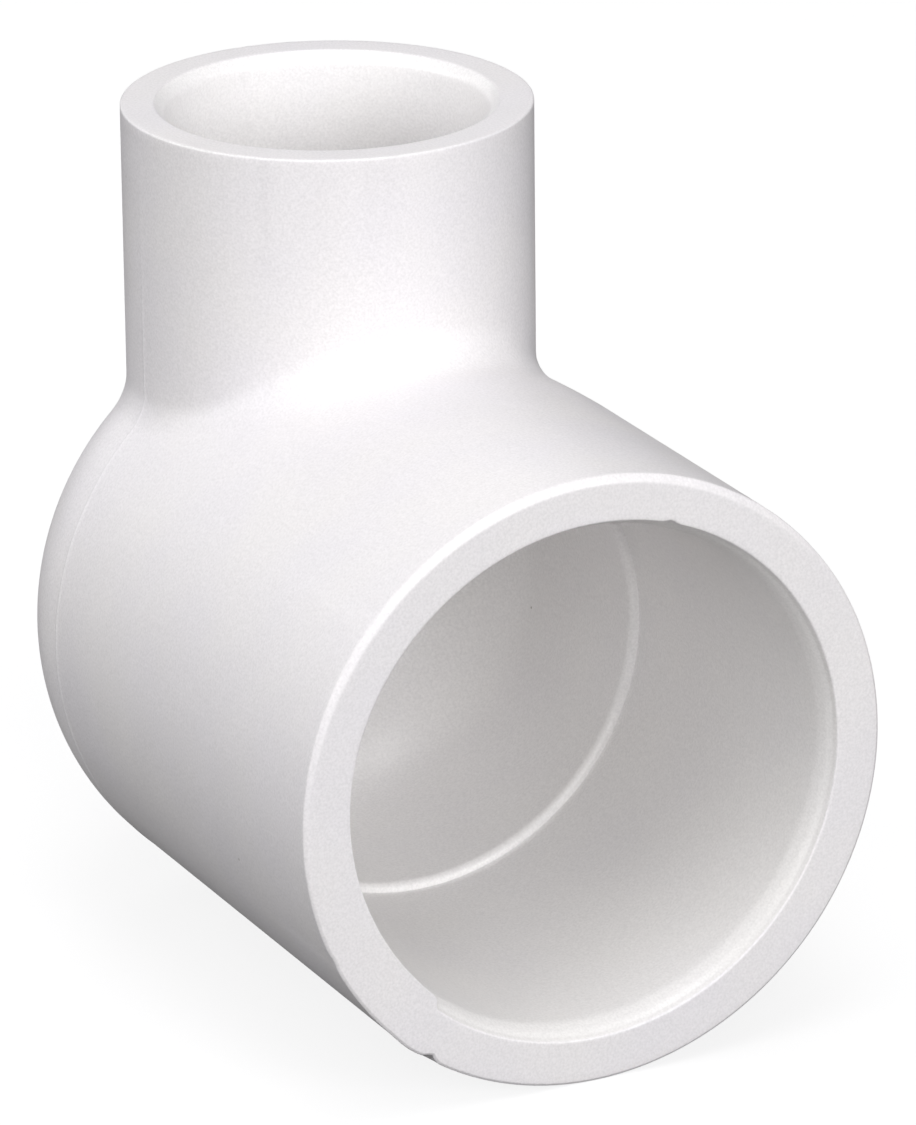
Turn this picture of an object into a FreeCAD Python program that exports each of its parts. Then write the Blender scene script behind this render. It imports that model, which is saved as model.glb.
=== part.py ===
"""Reducing elbow, 1 in x 1/2 in, slip x slip, white PVC, as a parametric FreeCAD document.

The real fitting is one injection moulding: a large socket on the run, a small socket
standing on it at 90 degrees, and a closed, domed back. The moulding is drawn once, as one
body with its waterway cut through it, and is then divided along flat planes into four
regions: each socket's plain hub, and the body between them ahead of and behind the mould's
parting plane. The regions meet face to face and never overlap.

Frame, in millimetres: the origin is the middle of the large socket's pipe stop, where the
end of the larger pipe seats. +X points out of the large socket, +Z out of the small one.
"""
import FreeCAD, Part
import os

import Sketcher

V = FreeCAD.Vector
START, END, CENTRE = 1, 2, 3
ORIGIN, X_AXIS = -1, -1
TOUCH = 0.001

SIZES = [
    # large socket, for pipe of 33.40 mm outside diameter
    ("large_socket_radius", 16.74),
    ("large_wall", 3.83),
    ("large_socket_depth", 25.8),
    ("large_rim_round", 0.4),
    ("large_lead_width", 0.9),
    ("large_lead_depth", 1.4),
    # small socket, for pipe of 21.34 mm outside diameter
    ("small_socket_radius", 10.7),
    ("small_wall", 2.99),
    ("small_socket_depth", 18.0),
    ("small_rim_round", 0.3),
    ("small_lead_width", 0.8),
    ("small_lead_depth", 0.6),
    # waterway: the step that stops each pipe, and how far the stops stand clear of it
    ("stop_step", 0.7),
    ("run_stop_gap", 2.5),
    ("branch_stop_gap", 1.16),
    # closed back, and the fillet where the branch meets the barrel
    ("back_straight", 1.0),
    ("back_margin", 1.56),
    ("inner_knuckle_radius", 5.5),
    ("root_fillet", 2.0),
    # the body ends this far beyond the root fillet, and the two hubs begin
    ("hub_margin", 0.5),
    # the dividing boxes stand this far outside the moulding
    ("box_margin", 2.0),
]

# What follows from the sizes, as expressions in the sheet's aliases.
LARGE_HUB_RADIUS = "(Sizes.large_socket_radius + Sizes.large_wall)"
SMALL_HUB_RADIUS = "(Sizes.small_socket_radius + Sizes.small_wall)"
CHAMBER_RADIUS = "(Sizes.large_socket_radius - Sizes.stop_step)"
BRANCH_BORE_RADIUS = "(Sizes.small_socket_radius - Sizes.stop_step)"
WALL = "(Sizes.large_wall + Sizes.stop_step)"
RUN_LAYING_LENGTH = "(" + BRANCH_BORE_RADIUS + " + Sizes.run_stop_gap)"
BRANCH_LAYING_LENGTH = "(" + CHAMBER_RADIUS + " + Sizes.branch_stop_gap)"
BRANCH_HEIGHT = "(" + BRANCH_LAYING_LENGTH + " + Sizes.small_socket_depth)"
STOP_X = "0 mm"
AXIS_X = "-" + RUN_LAYING_LENGTH
BACK_X = AXIS_X + " - Sizes.back_straight"
BACK_DEPTH = "(" + SMALL_HUB_RADIUS + " + Sizes.back_margin - Sizes.back_straight)"
ROOT_REACH = "(Sizes.root_fillet + Sizes.hub_margin)"
LARGE_HUB_X = AXIS_X + " + " + SMALL_HUB_RADIUS + " + " + ROOT_REACH
SMALL_HUB_Z = LARGE_HUB_RADIUS + " + " + ROOT_REACH

doc = FreeCAD.newDocument("reducing_elbow")


def make_sheet():
    """The spreadsheet: a name, its value and its alias in each row."""
    sheet = doc.addObject("Spreadsheet::Sheet", "Sizes")
    for row, (alias, value) in enumerate(SIZES, start=1):
        sheet.set("A%d" % row, alias)
        sheet.set("B%d" % row, str(value))
        sheet.setAlias("B%d" % row, alias)
    doc.recompute()
    return sheet


def value_of(expression):
    """What an expression in the sheet's aliases comes to now, in millimetres."""
    return float(sheet.evalExpression(expression))


def attach(body, name, role):
    """A new sketch of the body on its own origin plane of that role."""
    plane = [f for f in body.Origin.OriginFeatures if f.Role == role][0]
    sketch = body.newObject("Sketcher::SketchObject", name)
    sketch.AttachmentSupport = [(plane, "")]
    sketch.MapMode = "FlatFace"
    return sketch


def bind(sketch, kind, items, expression):
    """Add a sized constraint and tie its value to the sheet."""
    index = sketch.addConstraint(Sketcher.Constraint(kind, *items, value_of(expression)))
    sketch.setExpression("Constraints[%d]" % index, expression)


def place(sketch, curve, end, across, up):
    """Fix one end of a curve at (across, up); None for up puts it on the sketch's X axis."""
    bind(sketch, "DistanceX", (ORIGIN, START, curve, end), across)
    if up is None:
        sketch.addConstraint(Sketcher.Constraint("PointOnObject", curve, end, X_AXIS))
    else:
        bind(sketch, "DistanceY", (ORIGIN, START, curve, end), up)


def point(across, up):
    """The present place of a corner given as two expressions."""
    return V(value_of(across), value_of(up) if up else 0, 0)


def chain(sketch, corners):
    """Straight lines from corner to corner, each corner fixed by two expressions."""
    lines = []
    for here, there in zip(corners, corners[1:]):
        lines.append(sketch.addGeometry(Part.LineSegment(point(*here), point(*there))))
        place(sketch, lines[-1], START, *here)
    for first, second in zip(lines, lines[1:]):
        sketch.addConstraint(Sketcher.Constraint("Coincident", first, END, second, START))
    place(sketch, lines[-1], END, *corners[-1])
    return lines


def dome(sketch, wall_line, axis_line, depth, knuckle):
    """The closed back: a knuckle arc tangent to the barrel, then a crown arc to the axis."""
    start = sketch.Geometry[wall_line].EndPoint
    radius = value_of(knuckle)
    deep = value_of(depth)
    rise = start.y - radius
    crown = (deep ** 2 + rise ** 2 - radius ** 2) / (2 * (deep - radius))
    low = V(start.x, rise, 0)
    middle = V(start.x - deep + crown, 0, 0)
    meet = low + (low - middle).normalize() * radius
    apex = V(start.x - deep, 0, 0)
    bulge = low + ((start - low).normalize() + (meet - low).normalize()).normalize() * radius
    swing = ((meet - middle).normalize() + (apex - middle).normalize()).normalize()
    first = sketch.addGeometry(Part.Arc(start, bulge, meet))
    second = sketch.addGeometry(Part.Arc(meet, middle + swing * crown, apex))
    ends = {}
    for arc, near in ((first, start), (second, meet)):
        starts_near = sketch.Geometry[arc].StartPoint.distanceToPoint(near) < TOUCH
        ends[arc] = (START, END) if starts_near else (END, START)
    add = sketch.addConstraint
    add(Sketcher.Constraint("Coincident", first, ends[first][0], wall_line, END))
    add(Sketcher.Constraint("Vertical", first, CENTRE, wall_line, END))
    bind(sketch, "Radius", (first,), knuckle)
    add(Sketcher.Constraint("Tangent", first, ends[first][1], second, ends[second][0]))
    add(Sketcher.Constraint("PointOnObject", second, CENTRE, X_AXIS))
    add(Sketcher.Constraint("Coincident", second, ends[second][1], axis_line, START))


def run_profile(body, name, corners, depth, knuckle):
    """Half of the run's outline: the axis, the corners from the mouth in, and the dome."""
    sketch = attach(body, name, "XZ_Plane")
    axis = chain(sketch, [(BACK_X + " - (" + depth + ")", None), corners[0]])[0]
    walls = chain(sketch, corners)
    dome(sketch, walls[-1], axis, depth, knuckle)
    return sketch


def turn(body, kind, name, sketch, axis):
    """Revolve or groove a sketch right round one of its own axes."""
    feature = body.newObject("PartDesign::" + kind, name)
    feature.Profile = sketch
    feature.ReferenceAxis = (sketch, [axis])
    feature.Angle = 360
    doc.recompute()
    return feature


def edge_names(shape, wanted):
    """The names of the shape's edges that pass the test."""
    return ["Edge%d" % i for i, edge in enumerate(shape.Edges, start=1) if wanted(edge)]


def round_edges(body, name, base, wanted, radius):
    """Fillet the edges of the base feature that pass the test."""
    feature = body.newObject("PartDesign::Fillet", name)
    feature.Base = (base, edge_names(base.Shape, wanted))
    feature.setExpression("Radius", radius)
    doc.recompute()
    return feature


def is_root(edge):
    """True for the curve that the branch's outside makes on the barrel and the back."""
    first, last = edge.Vertexes[0].Point, edge.Vertexes[-1].Point
    if abs(edge.Length - first.distanceToPoint(last)) < TOUCH:
        return False  # a straight line up the side, not the root curve
    reach = value_of(SMALL_HUB_RADIUS)
    axis = value_of(AXIS_X)
    middle = edge.valueAt((edge.FirstParameter + edge.LastParameter) / 2)
    on_branch = abs(((middle.x - axis) ** 2 + middle.y ** 2) ** 0.5 - reach) < TOUCH
    return on_branch and middle.z < value_of(BRANCH_HEIGHT) - TOUCH


def is_large_rim(edge):
    """True for the outer edge of the large socket's mouth."""
    face = value_of("Sizes.large_socket_depth")
    return all(abs(vertex.X - face) < TOUCH for vertex in edge.Vertexes)


def is_small_rim(edge):
    """True for the outer edge of the small socket's mouth."""
    face = value_of(BRANCH_HEIGHT)
    return all(abs(vertex.Z - face) < TOUCH for vertex in edge.Vertexes)


def make_outside(body):
    """The solid outside: barrel and dome, the branch standing on it, and the rounds."""
    corners = [
        ("Sizes.large_socket_depth", None),
        ("Sizes.large_socket_depth", LARGE_HUB_RADIUS),
        (BACK_X, LARGE_HUB_RADIUS),
    ]
    profile = run_profile(body, "BarrelProfile", corners, BACK_DEPTH,
                          "Sizes.inner_knuckle_radius + " + WALL)
    turn(body, "Revolution", "Barrel", profile, "H_Axis")
    ring = attach(body, "BranchCircle", "XY_Plane")
    ring.addGeometry(Part.Circle(V(value_of(AXIS_X), 0, 0), V(0, 0, 1), 1.0))
    ring.addConstraint(Sketcher.Constraint("PointOnObject", 0, CENTRE, X_AXIS))
    bind(ring, "DistanceX", (ORIGIN, START, 0, CENTRE), AXIS_X)
    bind(ring, "Radius", (0,), SMALL_HUB_RADIUS)
    branch = body.newObject("PartDesign::Pad", "Branch")
    branch.Profile = ring
    branch.setExpression("Length", BRANCH_HEIGHT)
    doc.recompute()
    root = round_edges(body, "RootFillet", branch, is_root, "Sizes.root_fillet")
    rim = round_edges(body, "LargeRim", root, is_large_rim, "Sizes.large_rim_round")
    round_edges(body, "SmallRim", rim, is_small_rim, "Sizes.small_rim_round")


def cut_waterway(body):
    """Both sockets with their lead-ins and pipe stops, and the waterway between them."""
    corners = [
        ("Sizes.large_socket_depth", None),
        ("Sizes.large_socket_depth", "Sizes.large_socket_radius + Sizes.large_lead_width"),
        ("Sizes.large_socket_depth - Sizes.large_lead_depth", "Sizes.large_socket_radius"),
        (STOP_X, "Sizes.large_socket_radius"),
        (STOP_X, CHAMBER_RADIUS),
        (BACK_X, CHAMBER_RADIUS),
    ]
    profile = run_profile(body, "RunBoreProfile", corners, BACK_DEPTH + " - " + WALL,
                          "Sizes.inner_knuckle_radius")
    turn(body, "Groove", "RunBore", profile, "H_Axis")
    corners = [
        (AXIS_X, None),
        (AXIS_X + " + " + BRANCH_BORE_RADIUS, None),
        (AXIS_X + " + " + BRANCH_BORE_RADIUS, BRANCH_LAYING_LENGTH),
        (AXIS_X + " + Sizes.small_socket_radius", BRANCH_LAYING_LENGTH),
        (AXIS_X + " + Sizes.small_socket_radius", BRANCH_HEIGHT + " - Sizes.small_lead_depth"),
        (AXIS_X + " + Sizes.small_socket_radius + Sizes.small_lead_width", BRANCH_HEIGHT),
        (AXIS_X, BRANCH_HEIGHT),
        (AXIS_X, None),
    ]
    sketch = attach(body, "BranchBoreProfile", "XZ_Plane")
    lines = chain(sketch, corners)
    sketch.toggleConstruction(lines[-1])
    sketch.addGeometry(Part.LineSegment(point(*corners[-2]), point(*corners[-1])))
    closing = len(sketch.Geometry) - 1
    add = sketch.addConstraint
    add(Sketcher.Constraint("Coincident", closing, START, lines[-2], END))
    add(Sketcher.Constraint("Coincident", closing, END, lines[0], START))
    turn(body, "Groove", "BranchBore", sketch, "Axis0")


def region(name, corner, size):
    """The part of the moulding inside a box given by its low corner and its sides."""
    box = doc.addObject("Part::Box", name + "_box")
    for side, expression in zip(("Length", "Width", "Height"), size):
        box.setExpression(side, expression)
    for letter, expression in zip("xyz", corner):
        box.setExpression("Placement.Base." + letter, expression)
    piece = doc.addObject("Part::Common", name)
    piece.Label = name
    piece.Base = moulding
    piece.Tool = box
    piece.Placement = FreeCAD.Placement()
    return piece


def divide():
    """The four regions: the two plain hubs, and the body between them in two halves.

    The halves meet at the mould's parting plane, which holds the small socket's axis.
    """
    side = "(" + LARGE_HUB_RADIUS + " + Sizes.box_margin)"
    low = "-" + side
    wide = "2 * " + side
    body_high = side + " + " + SMALL_HUB_Z
    behind = "(Sizes.back_straight + " + BACK_DEPTH + " + Sizes.box_margin)"
    ahead = SMALL_HUB_RADIUS + " + " + ROOT_REACH
    far_end = AXIS_X + " - " + behind
    large_long = "Sizes.large_socket_depth + Sizes.box_margin - (" + LARGE_HUB_X + ")"
    small_high = BRANCH_HEIGHT + " + Sizes.box_margin - (" + SMALL_HUB_Z + ")"
    return [
        region("large_socket_hub", (LARGE_HUB_X, low, low), (large_long, wide, wide)),
        region("run_body", (AXIS_X, low, low), (ahead, wide, body_high)),
        region("closed_back", (far_end, low, low), (behind, wide, body_high)),
        region("small_socket_hub", (far_end, low, SMALL_HUB_Z),
               (behind + " + " + ahead, wide, small_high)),
    ]


def check_document():
    """Stop if any object failed to build."""
    for item in doc.Objects:
        if "Invalid" in item.State or "Error" in item.State:
            raise RuntimeError("%s did not build: %s" % (item.Name, item.State))


def write(pieces):
    """Write each piece to its own file, after testing its shape."""
    os.makedirs("parts", exist_ok=True)
    for piece in pieces:
        shape = piece.Shape
        if shape.isNull() or not shape.isValid() or len(shape.Solids) != 1:
            raise RuntimeError("%s is not one valid solid" % piece.Label)
        shape.exportStep("parts/%s.step" % piece.Label)
        print("%-18s volume %9.1f mm3" % (piece.Label, shape.Volume))


sheet = make_sheet()
moulding = doc.addObject("PartDesign::Body", "Moulding")
make_outside(moulding)
cut_waterway(moulding)
pieces = divide()
doc.recompute()
check_document()
total = sum(piece.Shape.Volume for piece in pieces)
print("moulding volume %.1f mm3, its regions together %.1f mm3" % (moulding.Shape.Volume, total))
write(pieces)
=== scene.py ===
import math

import bpy
import numpy as np
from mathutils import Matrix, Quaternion, Vector


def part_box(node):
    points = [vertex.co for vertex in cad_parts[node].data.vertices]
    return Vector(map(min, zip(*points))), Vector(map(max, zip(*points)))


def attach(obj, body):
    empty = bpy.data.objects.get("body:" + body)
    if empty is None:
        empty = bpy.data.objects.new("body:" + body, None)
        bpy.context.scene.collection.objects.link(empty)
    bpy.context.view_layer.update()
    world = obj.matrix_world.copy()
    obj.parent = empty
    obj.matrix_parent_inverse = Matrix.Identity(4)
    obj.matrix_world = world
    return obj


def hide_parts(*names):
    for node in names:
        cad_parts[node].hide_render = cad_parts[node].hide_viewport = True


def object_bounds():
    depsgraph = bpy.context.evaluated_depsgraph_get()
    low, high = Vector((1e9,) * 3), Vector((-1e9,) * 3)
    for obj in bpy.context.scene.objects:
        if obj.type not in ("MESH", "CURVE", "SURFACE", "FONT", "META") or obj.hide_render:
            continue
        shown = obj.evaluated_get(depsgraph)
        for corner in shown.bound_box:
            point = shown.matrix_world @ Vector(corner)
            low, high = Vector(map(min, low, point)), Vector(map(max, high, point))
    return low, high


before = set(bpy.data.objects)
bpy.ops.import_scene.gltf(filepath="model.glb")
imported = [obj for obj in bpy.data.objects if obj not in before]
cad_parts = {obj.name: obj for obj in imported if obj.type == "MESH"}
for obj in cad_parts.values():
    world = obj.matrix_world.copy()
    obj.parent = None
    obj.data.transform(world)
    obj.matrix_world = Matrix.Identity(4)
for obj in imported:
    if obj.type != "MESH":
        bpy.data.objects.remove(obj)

cad_low, cad_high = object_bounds()


# ---- Large socket hub -------------------------------------------------------------------------
# The open end that takes the 1 inch pipe: a thick collar of white rigid PVC, moulded round a
# steel core pin in one shot with the rest of the fitting. The outer edge is chamfered, and a
# trimming knife has cut a stepped lead-in inside the mouth, starting and ending at one nick.

MM = 0.001
TURN_STEPS = 384


def in_mm(node):
    low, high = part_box(node)
    return low / MM, high / MM


def turn_section(name, outline, centre, axis, closed):
    """Draws a wall's section by extruding one corner point after another, then spins it."""
    bpy.ops.object.select_all(action="DESELECT")
    bpy.ops.mesh.primitive_plane_add(size=1, location=outline[0])
    piece = bpy.context.object
    piece.name = piece.data.name = name
    bpy.ops.object.mode_set(mode="EDIT")
    bpy.ops.mesh.select_mode(type="VERT")
    bpy.ops.mesh.select_all(action="SELECT")
    bpy.ops.mesh.merge(type="CENTER")
    corners = outline[1:] + (outline[:1] if closed else [])
    for here, there in zip(outline, corners):
        step = [b - a for a, b in zip(here, there)]
        bpy.ops.mesh.extrude_region_move(TRANSFORM_OT_translate={"value": step})
    bpy.ops.mesh.select_all(action="SELECT")
    bpy.ops.mesh.spin(steps=TURN_STEPS, angle=math.tau, center=centre, axis=axis)
    bpy.ops.mesh.select_all(action="SELECT")
    bpy.ops.mesh.remove_doubles(threshold=0.0005)
    bpy.ops.mesh.normals_make_consistent(inside=False)
    bpy.ops.object.mode_set(mode="OBJECT")
    bpy.ops.object.transform_apply(location=True, rotation=True, scale=True)
    return piece


def bevel_ring(piece, is_on_ring, width, segments):
    """Rounds the ring of edges whose two ends are both on it."""
    bpy.ops.object.mode_set(mode="EDIT")
    bpy.ops.mesh.select_mode(type="EDGE")
    bpy.ops.mesh.select_all(action="DESELECT")
    bpy.ops.object.mode_set(mode="OBJECT")
    points = piece.data.vertices
    for edge in piece.data.edges:
        edge.select = all(is_on_ring(points[v].co) for v in edge.vertices)
    bpy.ops.object.mode_set(mode="EDIT")
    bpy.ops.mesh.bevel(offset=width, segments=segments, affect="EDGES", profile=0.5)
    bpy.ops.object.mode_set(mode="OBJECT")


def linear(hex_colour):
    """sRGB hex to the linear colour that a shader socket takes."""
    parts = [int(hex_colour[i : i + 2], 16) / 255 for i in (0, 2, 4)]
    return [p / 12.92 if p <= 0.04045 else ((p + 0.055) / 1.055) ** 2.4 for p in parts] + [1.0]


def add_node(tree, kind, inputs=None, links=None, **settings):
    """Adds one node with its settings, its unlinked inputs and its incoming links."""
    node = tree.nodes.new(kind)
    for setting, value in settings.items():
        setattr(node, setting, value)
    for socket, value in (inputs or {}).items():
        node.inputs[socket].default_value = value
    for socket, source in (links or {}).items():
        tree.links.new(source, node.inputs[socket])
    return node


MIX_SHARE, MIX_FIRST, MIX_SECOND, MIX_OUT = 0, 6, 7, 2      # a colour Mix node's sockets


def white_pvc_finish(name, white, cloudy_white, roughness, grain_depth_mm):
    """Injection moulded white rigid PVC, as one side of the mould's steel left it.

    Titanium dioxide makes it a dense white with a faint cool cast. The eye sees a satin gloss, a
    fine even grain, cloudy flow marks, and here and there a dark speck of burnt resin.
    """
    material = bpy.data.materials.new(name)
    material.use_nodes = True
    tree = material.node_tree
    tree.nodes.clear()
    place = {"Vector": add_node(tree, "ShaderNodeTexCoord").outputs["Object"]}

    # Flow marks drift over about a centimetre.
    flow = add_node(tree, "ShaderNodeTexNoise", {"Scale": 1 / (9.0 * MM), "Detail": 2.0}, place)
    clouds = add_node(tree, "ShaderNodeMapRange", {"From Min": 0.35, "From Max": 0.65},
                      {"Value": flow.outputs["Fac"]})
    resin = add_node(tree, "ShaderNodeMix",
                     {MIX_FIRST: linear(white), MIX_SECOND: linear(cloudy_white)},
                     {MIX_SHARE: clouds.outputs["Result"]}, data_type="RGBA")
    # The real grain is about 0.05 mm; it is drawn at 0.17 mm so that it shows.
    grain = add_node(tree, "ShaderNodeTexNoise", {"Scale": 1 / (0.17 * MM), "Detail": 3.0}, place)
    shade = add_node(tree, "ShaderNodeMapRange",
                     {"From Min": 0.3, "From Max": 0.7, "To Min": 0.88, "To Max": 1.0},
                     {"Value": grain.outputs["Fac"]})
    grainy = add_node(tree, "ShaderNodeMix", {MIX_SHARE: 1.0},
                      {MIX_FIRST: resin.outputs[MIX_OUT], MIX_SECOND: shade.outputs["Result"]},
                      data_type="RGBA", blend_type="MULTIPLY")
    # Burnt specks are 0.2 mm across, a few to each square inch of wall.
    scatter = add_node(tree, "ShaderNodeTexVoronoi", {"Scale": 1 / (5.5 * MM)}, place)
    speck = add_node(tree, "ShaderNodeMapRange",
                     {"From Min": 0.010, "From Max": 0.022, "To Min": 0.75, "To Max": 0.0},
                     {"Value": scatter.outputs["Distance"]})
    colour = add_node(tree, "ShaderNodeMix", {MIX_SECOND: linear("9C958B")},
                      {MIX_SHARE: speck.outputs["Result"], MIX_FIRST: grainy.outputs[MIX_OUT]},
                      data_type="RGBA")

    # The steel's polish was uneven, so the gloss drifts a little every 3 mm.
    polish = add_node(tree, "ShaderNodeTexNoise", {"Scale": 1 / (3.0 * MM), "Detail": 2.0}, place)
    satin = add_node(tree, "ShaderNodeMapRange",
                     {"From Min": 0.3, "From Max": 0.7,
                      "To Min": roughness - 0.05, "To Max": roughness + 0.05},
                     {"Value": polish.outputs["Fac"]})
    # Orange peel, 1.6 mm from crest to crest, lies under the grain.
    dimples = add_node(tree, "ShaderNodeTexNoise", {"Scale": 1 / (1.6 * MM), "Detail": 2.0}, place)
    peel = add_node(tree, "ShaderNodeBump", {"Strength": 0.6, "Distance": 0.006 * MM},
                    {"Height": dimples.outputs["Fac"]})
    relief = add_node(tree, "ShaderNodeBump", {"Strength": 0.6, "Distance": grain_depth_mm * MM},
                      {"Height": grain.outputs["Fac"], "Normal": peel.outputs["Normal"]})
    shader = add_node(tree, "ShaderNodeBsdfPrincipled", {"IOR": 1.53},
                      {"Base Color": colour.outputs[MIX_OUT],
                       "Roughness": satin.outputs["Result"], "Normal": relief.outputs["Normal"]})
    add_node(tree, "ShaderNodeOutputMaterial", links={"Surface": shader.outputs["BSDF"]})
    return material


# Outside, the cavity's steel was blasted; inside, the core pins were polished to draw freely.
cavity_side = white_pvc_finish("white_rigid_pvc_blasted_cavity", "F4F1F2", "F2EFF2", 0.48, 0.008)
core_side = white_pvc_finish("white_rigid_pvc_polished_core", "F5F3F2", "F3F1F1", 0.34, 0.003)


def finish_piece(piece, node, is_core_side, core=core_side):
    """Both finishes, millimetres to metres, soft over the curves and crisp at the corners."""
    piece.data.materials.clear()
    piece.data.materials.append(cavity_side)
    piece.data.materials.append(core)
    for face in piece.data.polygons:
        face.material_index = int(is_core_side(face))
    bpy.ops.object.select_all(action="DESELECT")
    piece.select_set(True)
    bpy.context.view_layer.objects.active = piece
    piece.scale = (MM, MM, MM)
    bpy.ops.object.transform_apply(location=True, rotation=True, scale=True)
    bpy.ops.object.shade_smooth_by_angle(angle=math.radians(32))
    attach(piece, "root")
    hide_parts(node)


hub_low, hub_high = in_mm("large_socket_hub")
LARGE_OUTER = hub_high.y
LARGE_FACE = hub_high.x
LARGE_HUB_START = hub_low.x
LARGE_MOUTH_RADIUS = 16.83      # the standard's taper, from the mouth ...
LARGE_STOP_RADIUS = 16.64       # ... to the pipe stop, at x = 0
LEAD_IN = ((0.0, 17.55), (0.4, 17.42), (0.8, 17.17), (1.6, 16.88))     # depth, radius
LEAD_IN_ROUNDS = (0.1, 0.12, 0.2, 0.2)
RIM_CHAMFER = (0.32, 0.48)      # along the barrel, across the face
CHAMFER_ROUNDS = (0.12, 0.1)    # where it meets the barrel, and the face
HOLD = 0.25                     # a ring this far from an edge keeps the flat beside it flat


def large_wall(x):
    share = x / LARGE_FACE
    return LARGE_STOP_RADIUS + (LARGE_MOUTH_RADIUS - LARGE_STOP_RADIUS) * share


chamfer_start, chamfer_end = LARGE_FACE - RIM_CHAMFER[0], LARGE_OUTER - RIM_CHAMFER[1]
section = [(LARGE_HUB_START, 0, LARGE_OUTER), (chamfer_start - 0.3, 0, LARGE_OUTER),
           (chamfer_start, 0, LARGE_OUTER), (LARGE_FACE, 0, chamfer_end),
           (LARGE_FACE, 0, chamfer_end - HOLD), (LARGE_FACE, 0, LEAD_IN[0][1] + HOLD)]
section += [(LARGE_FACE - depth, 0, radius) for depth, radius in LEAD_IN]
section += [(x, 0, large_wall(x)) for x in (LARGE_FACE - 2.2, LARGE_HUB_START)]
large_hub = turn_section("large_socket_collar", section, (0, 0, 0), (1, 0, 0), closed=True)


def ring_at(x, radius):
    return lambda co: abs(co.x - x) < 0.01 and abs(math.hypot(co.y, co.z) - radius) < 0.01


for (depth, radius), width in zip(LEAD_IN, LEAD_IN_ROUNDS):
    bevel_ring(large_hub, ring_at(LARGE_FACE - depth, radius), width, 3)
bevel_ring(large_hub, ring_at(chamfer_start, LARGE_OUTER), CHAMFER_ROUNDS[0], 3)
bevel_ring(large_hub, ring_at(LARGE_FACE, chamfer_end), CHAMFER_ROUNDS[1], 3)

# The knife went round from its nick at 229 degrees and rose out of the plastic by 150, so the
# lead-in dies away there. Degrees run from +y towards +z. The sprue was snapped off beside it.
KNIFE_IN, KNIFE_RISING = 229.0, 150.0
OUTER_MARKS = ((229.0, 3.0, 0.08), (234.3, 1.2, -0.36), (205.0, 1.5, -0.09), (139.0, 1.5, -0.05))
INNER_MARKS = ((72.0, 1.3, 0.2), (228.2, 0.9, 0.2))         # degrees, half width, height
# The chamfer is full over the upper left; round the lower right it keeps only this share.
NARROW_SHARE = 0.38
NARROWING, WIDENING = (140.0, 195.0), (20.0, 60.0)          # degrees, from and to
MARKS_DEPTH = 2.0


def smooth_share(value, start, end):
    t = min(max((value - start) / (end - start), 0.0), 1.0)
    return t * t * (3 - 2 * t)


def marks_at(degrees, marks):
    return sum(height * math.exp(-(((degrees - at) / half) ** 2)) for at, half, height in marks)


for point in large_hub.data.vertices:
    depth = LARGE_FACE - point.co.x
    radius = math.hypot(point.co.y, point.co.z)
    degrees = math.degrees(math.atan2(point.co.z, point.co.y)) % 360
    if depth > MARKS_DEPTH:
        continue
    if radius < 18.5:       # the lead-in
        cut = 1 - 0.93 * (smooth_share(degrees, KNIFE_RISING, KNIFE_IN - 6)
                          - smooth_share(degrees, KNIFE_IN - 1.2, KNIFE_IN + 0.8))
        wall = large_wall(point.co.x)
        moved = wall + (radius - wall) * cut
        moved += marks_at(degrees, INNER_MARKS) * (1 - depth / MARKS_DEPTH)
    elif radius > 19.5:     # the outer edge
        moved = radius
        if depth < 0.6 and radius > 19.9:
            narrow = smooth_share(degrees, *NARROWING) + 1 - smooth_share(degrees, *WIDENING)
            kept = 1 - (1 - NARROW_SHARE) * narrow
            point.co.x = LARGE_FACE - depth * kept
            moved = LARGE_OUTER - (LARGE_OUTER - radius) * kept
        if depth < 0.5:
            moved += marks_at(degrees, OUTER_MARKS)
    else:
        continue
    point.co.y *= moved / radius
    point.co.z *= moved / radius
finish_piece(large_hub, "large_socket_hub",
             lambda face: math.hypot(face.center.y, face.center.z) < 17.5 and face.normal.x < 0.95)


# ---- Small socket hub -------------------------------------------------------------------------
# The branch end that takes the 1/2 inch pipe: a thinner collar of the same shot of PVC.
# Thin flash stands along its front edge, where the core pin's plate met the cavity.

hub_low, hub_high = in_mm("small_socket_hub")
back_low, back_high = in_mm("closed_back")
BRANCH_X = back_high.x
SMALL_OUTER = hub_high.y
SMALL_FACE = hub_high.z
SMALL_HUB_START = hub_low.z
SMALL_DEPTH = 18.0
SMALL_MOUTH_RADIUS = 10.77
SMALL_STOP_RADIUS = 10.63


def small_wall(z):
    share = (z - (SMALL_FACE - SMALL_DEPTH)) / SMALL_DEPTH
    return SMALL_STOP_RADIUS + (SMALL_MOUTH_RADIUS - SMALL_STOP_RADIUS) * share


SMALL_LEAD_IN = ((0.0, 11.45), (0.55, 10.8))                # depth, radius
SMALL_LEAD_IN_ROUNDS = (0.12, 0.3)
SMALL_ROUND = 0.14
section = [(SMALL_OUTER, SMALL_HUB_START), (SMALL_OUTER, SMALL_FACE - 0.5),
           (SMALL_OUTER, SMALL_FACE), (SMALL_OUTER - 0.4, SMALL_FACE),
           (SMALL_LEAD_IN[0][1] + HOLD, SMALL_FACE)]
section += [(radius, SMALL_FACE - depth) for depth, radius in SMALL_LEAD_IN]
section += [(small_wall(z), z) for z in (SMALL_FACE - 1.2, SMALL_HUB_START)]
section = [(BRANCH_X + radius, 0, z) for radius, z in section]
small_hub = turn_section("small_socket_collar", section, (BRANCH_X, 0, 0), (0, 0, 1), closed=True)


def ring_up(z, radius):
    return lambda co: (abs(co.z - z) < 0.01
                       and abs(math.hypot(co.x - BRANCH_X, co.y) - radius) < 0.01)


for (depth, radius), width in zip(SMALL_LEAD_IN, SMALL_LEAD_IN_ROUNDS):
    bevel_ring(small_hub, ring_up(SMALL_FACE - depth, radius), width, 4)
bevel_ring(small_hub, ring_up(SMALL_FACE, SMALL_OUTER), SMALL_ROUND, 4)

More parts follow.
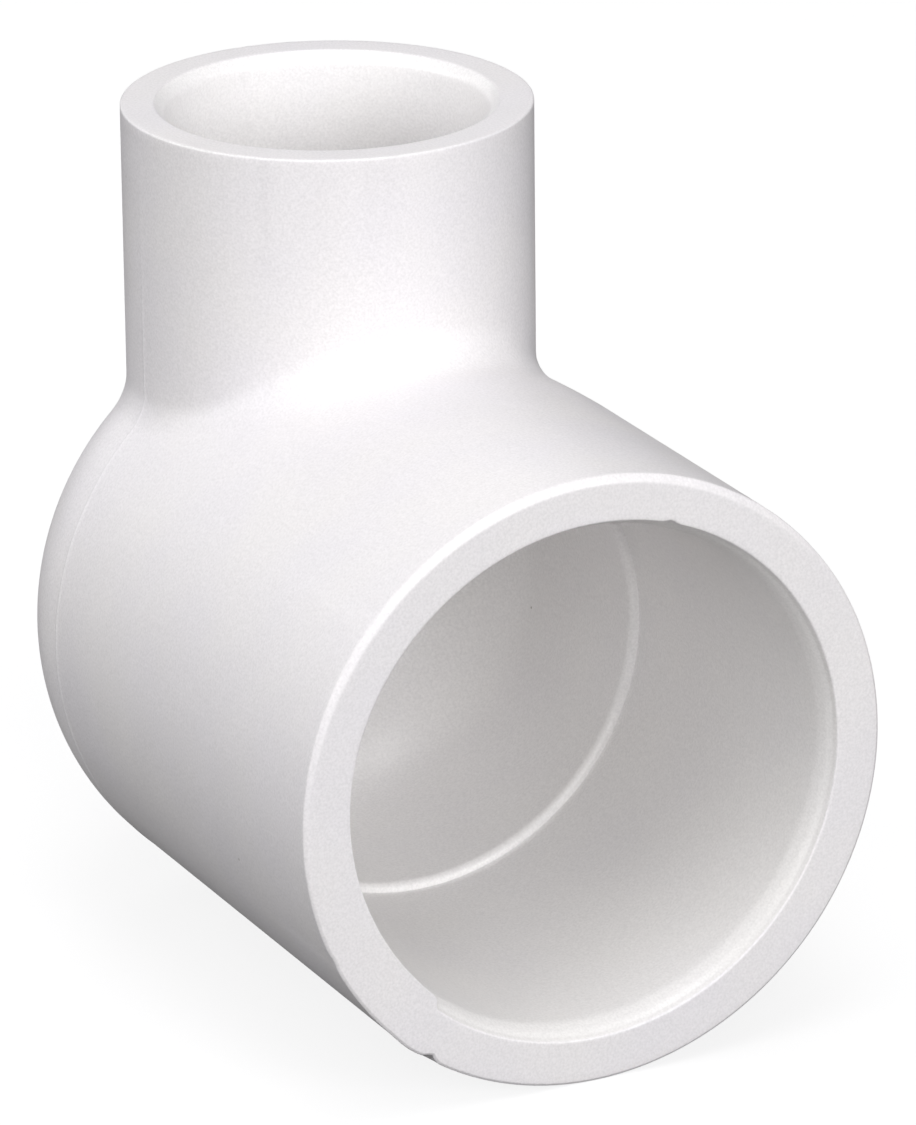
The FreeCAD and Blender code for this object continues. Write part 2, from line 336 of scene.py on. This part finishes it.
# degrees round from +x, half width, height
FLASH = ((-42.5, 1.3, 0.07), (-14.0, 1.6, 0.08), (-8.5, 2.2, 0.06), (-28.0, 4.0, 0.03))
for point in small_hub.data.vertices:
    from_axis = math.hypot(point.co.x - BRANCH_X, point.co.y)
    if point.co.z > SMALL_FACE - 0.2 and from_axis > SMALL_OUTER - 0.2:
        degrees = math.degrees(math.atan2(point.co.y, point.co.x - BRANCH_X))
        moved = 1 + marks_at(degrees, FLASH) / from_axis
        point.co.x = BRANCH_X + (point.co.x - BRANCH_X) * moved
        point.co.y *= moved

# The mould's halves met in the plane of the branch's axis and left a fine raised line.
PARTING_X = BRANCH_X
LINE_HALF_WIDTH, LINE_HEIGHT = 0.11, 0.028


def raise_parting_line(piece, is_outside, outward):
    """Cuts three lines round the piece and lifts the middle one."""
    bpy.ops.object.select_all(action="DESELECT")
    piece.select_set(True)
    bpy.context.view_layer.objects.active = piece
    bpy.ops.object.mode_set(mode="EDIT")
    for x in (PARTING_X - LINE_HALF_WIDTH, PARTING_X + LINE_HALF_WIDTH, PARTING_X):
        bpy.ops.mesh.select_all(action="SELECT")
        bpy.ops.mesh.bisect(plane_co=(x, 0, 0), plane_no=(1, 0, 0), threshold=0.03)
    bpy.ops.object.mode_set(mode="OBJECT")
    for point in piece.data.vertices:
        if abs(point.co.x - PARTING_X) < 0.031 and is_outside(point.co):
            point.co += outward(point).normalized() * LINE_HEIGHT
            point.co.x = PARTING_X


raise_parting_line(
    small_hub, lambda co: abs(co.y) > SMALL_OUTER - 0.05 and co.z < SMALL_FACE - 0.3,
    lambda point: Vector((0, point.co.y, 0)))

# Light comes through this thinner wall. Its polished inside is painted a purer white as a painted
# glow that stands in for that light.
core_side_painted_glow = white_pvc_finish("white_rigid_pvc_thin_wall_painted_glow", "F8F6F6", "F6F4F5", 0.34, 0.003)
finish_piece(small_hub, "small_socket_hub",
             lambda face: math.hypot(face.center.x - BRANCH_X, face.center.y) < 11.4,
             core=core_side_painted_glow)


# ---- Elbow body -------------------------------------------------------------------------------
# The knuckle of the elbow: the barrel behind the large socket, its closed round back, and the
# foot of the branch, all one skin of PVC over the waterway. The fillet at the branch's foot is
# full at the front and dies to a crease at the back. The mould's two halves met at the middle
# of the branch, so the body is cut there into its front and its closed back.

BACK_STRAIGHT = 1.0
BACK_START = PARTING_X - BACK_STRAIGHT
BACK_DEPTH = BACK_START - back_low.x
SKIN_STEP = 0.34    # size of the remesh's voxels
ROOT_FRONT = 2.6
ROOT_BACK = 1.0
SPARE = 4.0         # length beyond each joint, cut away again
# The thick root shrank as it cooled and drew the barrel's wall in beside the branch's foot.
SINK_AT, SINK_REACH, SINK_DEPTH = np.array([-6.0, 13.1, 15.8]), 9.6, 0.42


def skin_gap(p):
    """How far points are outside the skin; negative inside."""
    x, y, z = p[:, 0], p[:, 1], p[:, 2]
    round_axis = np.hypot(y, z)
    behind = np.minimum(x - BACK_START, 0.0)
    q = np.hypot(behind / BACK_DEPTH, round_axis / LARGE_OUTER)
    slope = np.hypot(behind / BACK_DEPTH**2, round_axis / LARGE_OUTER**2) / q
    barrel = (q - 1.0) / slope
    beside_foot = np.minimum(((p - SINK_AT) ** 2).sum(axis=1) / SINK_REACH**2, 1.0)
    barrel = barrel + SINK_DEPTH * (1.0 - beside_foot) ** 2
    from_branch = np.hypot(x - BRANCH_X, y)
    branch = np.maximum(from_branch - SMALL_OUTER, -z)
    forward = np.clip(((x - BRANCH_X) / from_branch - 0.38) / 0.62, 0.0, 1.0)
    root = ROOT_BACK + (ROOT_FRONT - ROOT_BACK) * forward * forward * (3 - 2 * forward)
    return np.maximum(root, np.minimum(barrel, branch)) - np.hypot(
        np.maximum(root - barrel, 0.0), np.maximum(root - branch, 0.0))


bpy.ops.object.select_all(action="DESELECT")
barrel_end = LARGE_HUB_START + SPARE
bpy.ops.mesh.primitive_cylinder_add(
    vertices=128, radius=LARGE_OUTER, depth=barrel_end - BACK_START,
    location=((barrel_end + BACK_START) / 2, 0, 0), rotation=(0, math.pi / 2, 0))
barrel = bpy.context.object
bpy.ops.mesh.primitive_uv_sphere_add(segments=96, ring_count=64, radius=1,
                                     location=(BACK_START, 0, 0))
back = bpy.context.object
back.scale = (BACK_DEPTH, LARGE_OUTER, LARGE_OUTER)
branch_end = SMALL_HUB_START + SPARE
bpy.ops.mesh.primitive_cylinder_add(
    vertices=128, radius=SMALL_OUTER, depth=branch_end,
    location=(BRANCH_X, 0, branch_end / 2))
body = bpy.context.object
barrel.select_set(True)
back.select_set(True)
bpy.ops.object.join()
body.name = body.data.name = "elbow_body_front"
bpy.ops.object.transform_apply(location=True, rotation=True, scale=True)
remesh = body.modifiers.new("one skin", "REMESH")
remesh.mode = "VOXEL"
remesh.voxel_size = SKIN_STEP
bpy.ops.object.modifier_apply(modifier=remesh.name)

co = np.empty(len(body.data.vertices) * 3)
body.data.vertices.foreach_get("co", co)
co = co.reshape(-1, 3)
moving = (co[:, 0] < barrel_end - 1.5) & (co[:, 2] < branch_end - 1.5)      # not the end caps
NUDGE = 0.001
for _ in range(6):
    near = co[moving]
    gap = skin_gap(near)
    slopes = np.stack([(skin_gap(near + d) - skin_gap(near - d)) / (2 * NUDGE)
                       for d in np.eye(3) * NUDGE], axis=1)
    co[moving] = near - slopes * (gap / np.maximum((slopes**2).sum(axis=1), 0.2))[:, None]
body.data.vertices.foreach_set("co", co.ravel())
body.data.update()


def slice_flat(piece, point, normal, keep_inner):
    """Cuts a piece at a plane and closes the cut; inner is the side the normal points from."""
    bpy.ops.object.select_all(action="DESELECT")
    piece.select_set(True)
    bpy.context.view_layer.objects.active = piece
    bpy.ops.object.mode_set(mode="EDIT")
    bpy.ops.mesh.select_all(action="SELECT")
    bpy.ops.mesh.bisect(plane_co=point, plane_no=normal, use_fill=True, threshold=0.0001,
                        clear_outer=keep_inner, clear_inner=not keep_inner)
    bpy.ops.object.mode_set(mode="OBJECT")


raise_parting_line(body, lambda co: True, lambda point: Vector((0, point.normal.y, point.normal.z)))
slice_flat(body, (LARGE_HUB_START, 0, 0), (1, 0, 0), keep_inner=True)
slice_flat(body, (0, 0, SMALL_HUB_START), (0, 0, 1), keep_inner=True)

# The steel that leaves the waterway: the large socket's core pin with its stepped, domed end,
# and the branch's core pin that runs into it.
CHAMBER_RADIUS = 16.06
INNER_END = -23.2
INNER_START = BACK_START
STOP_SWELL = 0.55       # length over which the pipe stop swells out of the chamber's wall
SWELL_STEPS, DOME_STEPS = 8, 24
pin_end = LARGE_HUB_START + SPARE
section = [(pin_end, 0), (pin_end, large_wall(pin_end)), (0.5, large_wall(0.5)),
           (0.1, LARGE_STOP_RADIUS + 0.04), (0.0, LARGE_STOP_RADIUS)]
stop_height = LARGE_STOP_RADIUS - CHAMBER_RADIUS
for k in range(SWELL_STEPS - 1, -1, -1):
    a = k / SWELL_STEPS * math.pi / 2
    section.append((STOP_SWELL * (math.sin(a) - 1),
                    LARGE_STOP_RADIUS - stop_height * math.cos(a)))
section += [(-STOP_SWELL - 0.4, CHAMBER_RADIUS), (INNER_START, CHAMBER_RADIUS)]
section = [(x, 0, radius) for x, radius in section]
for k in range(1, DOME_STEPS):
    a = k / DOME_STEPS * math.pi / 2
    section.append((INNER_START - (INNER_START - INNER_END) * math.sin(a), 0,
                    CHAMBER_RADIUS * math.cos(a)))
section.append((INNER_END, 0, 0))
run_pin = turn_section("run_core_pin", section, (0, 0, 0), (1, 0, 0), closed=False)

BRANCH_BORE = 10.0
SMALL_STOP_ROUND = 0.22
SMALL_STOP_Z = SMALL_FACE - SMALL_DEPTH
pin_end = SMALL_HUB_START + SPARE
section = [(0, 0), (BRANCH_BORE, 0), (BRANCH_BORE, SMALL_STOP_Z), (SMALL_STOP_RADIUS, SMALL_STOP_Z),
           (small_wall(pin_end), pin_end), (0, pin_end)]
section = [(BRANCH_X + radius, 0, z) for radius, z in section]
branch_pin = turn_section("branch_core_pin", section, (BRANCH_X, 0, 0), (0, 0, 1), closed=False)
bevel_ring(branch_pin, ring_up(SMALL_STOP_Z, SMALL_STOP_RADIUS), SMALL_STOP_ROUND, 4)
bevel_ring(branch_pin, ring_up(SMALL_STOP_Z, BRANCH_BORE), SMALL_STOP_ROUND, 4)

bpy.ops.object.select_all(action="DESELECT")
bpy.context.view_layer.objects.active = body
for pin in (run_pin, branch_pin):
    draw = body.modifiers.new("core pin drawn", "BOOLEAN")
    draw.operation = "DIFFERENCE"
    draw.solver = "EXACT"
    draw.object = pin
    bpy.ops.object.modifier_apply(modifier=draw.name)
    bpy.data.objects.remove(pin)

closed_back = body.copy()
closed_back.data = body.data.copy()
closed_back.name = closed_back.data.name = "elbow_closed_back"
bpy.context.scene.collection.objects.link(closed_back)
slice_flat(body, (PARTING_X, 0, 0), (1, 0, 0), keep_inner=False)
slice_flat(closed_back, (PARTING_X, 0, 0), (1, 0, 0), keep_inner=True)


def under_skin(face):
    """True for the waterway's faces, which are well inside the outer skin."""
    return skin_gap(np.array([face.center]))[0] < -1.0


finish_piece(body, "run_body", under_skin)
finish_piece(closed_back, "closed_back", under_skin)


# ---- Camera -----------------------------------------------------------------------------------
# A long lens about half a metre off, looking down past the branch into the large socket.

AZIMUTH, ELEVATION, ROLL = math.radians(63.70), math.radians(20.157), math.radians(-0.60)
DISTANCE = 0.5237
AIM = Vector((0.00631, 0.0, 0.00866))
back_way = Vector((math.sin(AZIMUTH) * math.cos(ELEVATION),
                   -math.cos(AZIMUTH) * math.cos(ELEVATION), math.sin(ELEVATION)))
camera = bpy.data.objects.new("camera", bpy.data.cameras.new("camera"))
bpy.context.scene.collection.objects.link(camera)
camera.data.sensor_width = 36.0
camera.data.lens = 256.95
camera.data.clip_start, camera.data.clip_end = 0.01, 20.0
camera.rotation_mode = "QUATERNION"
camera.location = AIM + back_way * DISTANCE
level = (-back_way).to_track_quat("-Z", "Y")
camera.rotation_quaternion = Quaternion(back_way, ROLL) @ level
bpy.context.scene.camera = camera


# ---- Studio -----------------------------------------------------------------------------------
# A pale table of back-lit white acrylic under a ring of soft disks, most of them round the
# camera. The table lights itself, not the part, so the part's underside stays grey.

bpy.ops.object.select_all(action="DESELECT")
bpy.ops.mesh.primitive_plane_add(size=6, location=(0, 0, cad_low.z))
floor = bpy.context.object
floor.name = "studio_table"
bpy.ops.object.transform_apply(location=True)
acrylic = bpy.data.materials.new("white_acrylic_back_lit")
acrylic.use_nodes = True
sheet = acrylic.node_tree.nodes["Principled BSDF"]
sheet.inputs["Base Color"].default_value = linear("7A7A7B")
sheet.inputs["Roughness"].default_value = 0.8
sheet.inputs["Emission Color"].default_value = linear("FFFFFF")
sheet.inputs["Emission Strength"].default_value = 0.82
floor.data.materials.append(acrylic)
floor.visible_diffuse = False
floor.visible_glossy = False

SOFT_DISK = 0.5     # metres across, each 1 m from the part
# degrees round from the camera, degrees up, watts
SOFT_DISKS = ((0, 20, 3.4), (45, 20, 4.7), (-90, 20, 2.9), (-45, 20, 1.4), (-135, 20, 0.9),
              (0, 45, 0.6), (180, 45, 1.1), (0, 70, 2.5), (0, 90, 1.6))
for round_way, up_way, watts in SOFT_DISKS:
    a, e = AZIMUTH + math.radians(round_way), math.radians(up_way)
    way = Vector((math.sin(a) * math.cos(e), -math.cos(a) * math.cos(e), math.sin(e)))
    disk = bpy.data.lights.new("soft_disk", "AREA")
    disk.shape, disk.size, disk.energy = "DISK", SOFT_DISK, watts
    stand = bpy.data.objects.new("soft_disk", disk)
    bpy.context.scene.collection.objects.link(stand)
    stand.location = way
    stand.rotation_mode = "QUATERNION"
    stand.rotation_quaternion = way.to_track_quat("Z", "Y")

world = bpy.data.worlds.new("studio_room")
bpy.context.scene.world = world
world.use_nodes = True
room = world.node_tree.nodes["Background"]
room.inputs["Color"].default_value = linear("FFFFFF")
room.inputs["Strength"].default_value = 0.085
bpy.context.scene.view_settings.view_transform = "Standard"
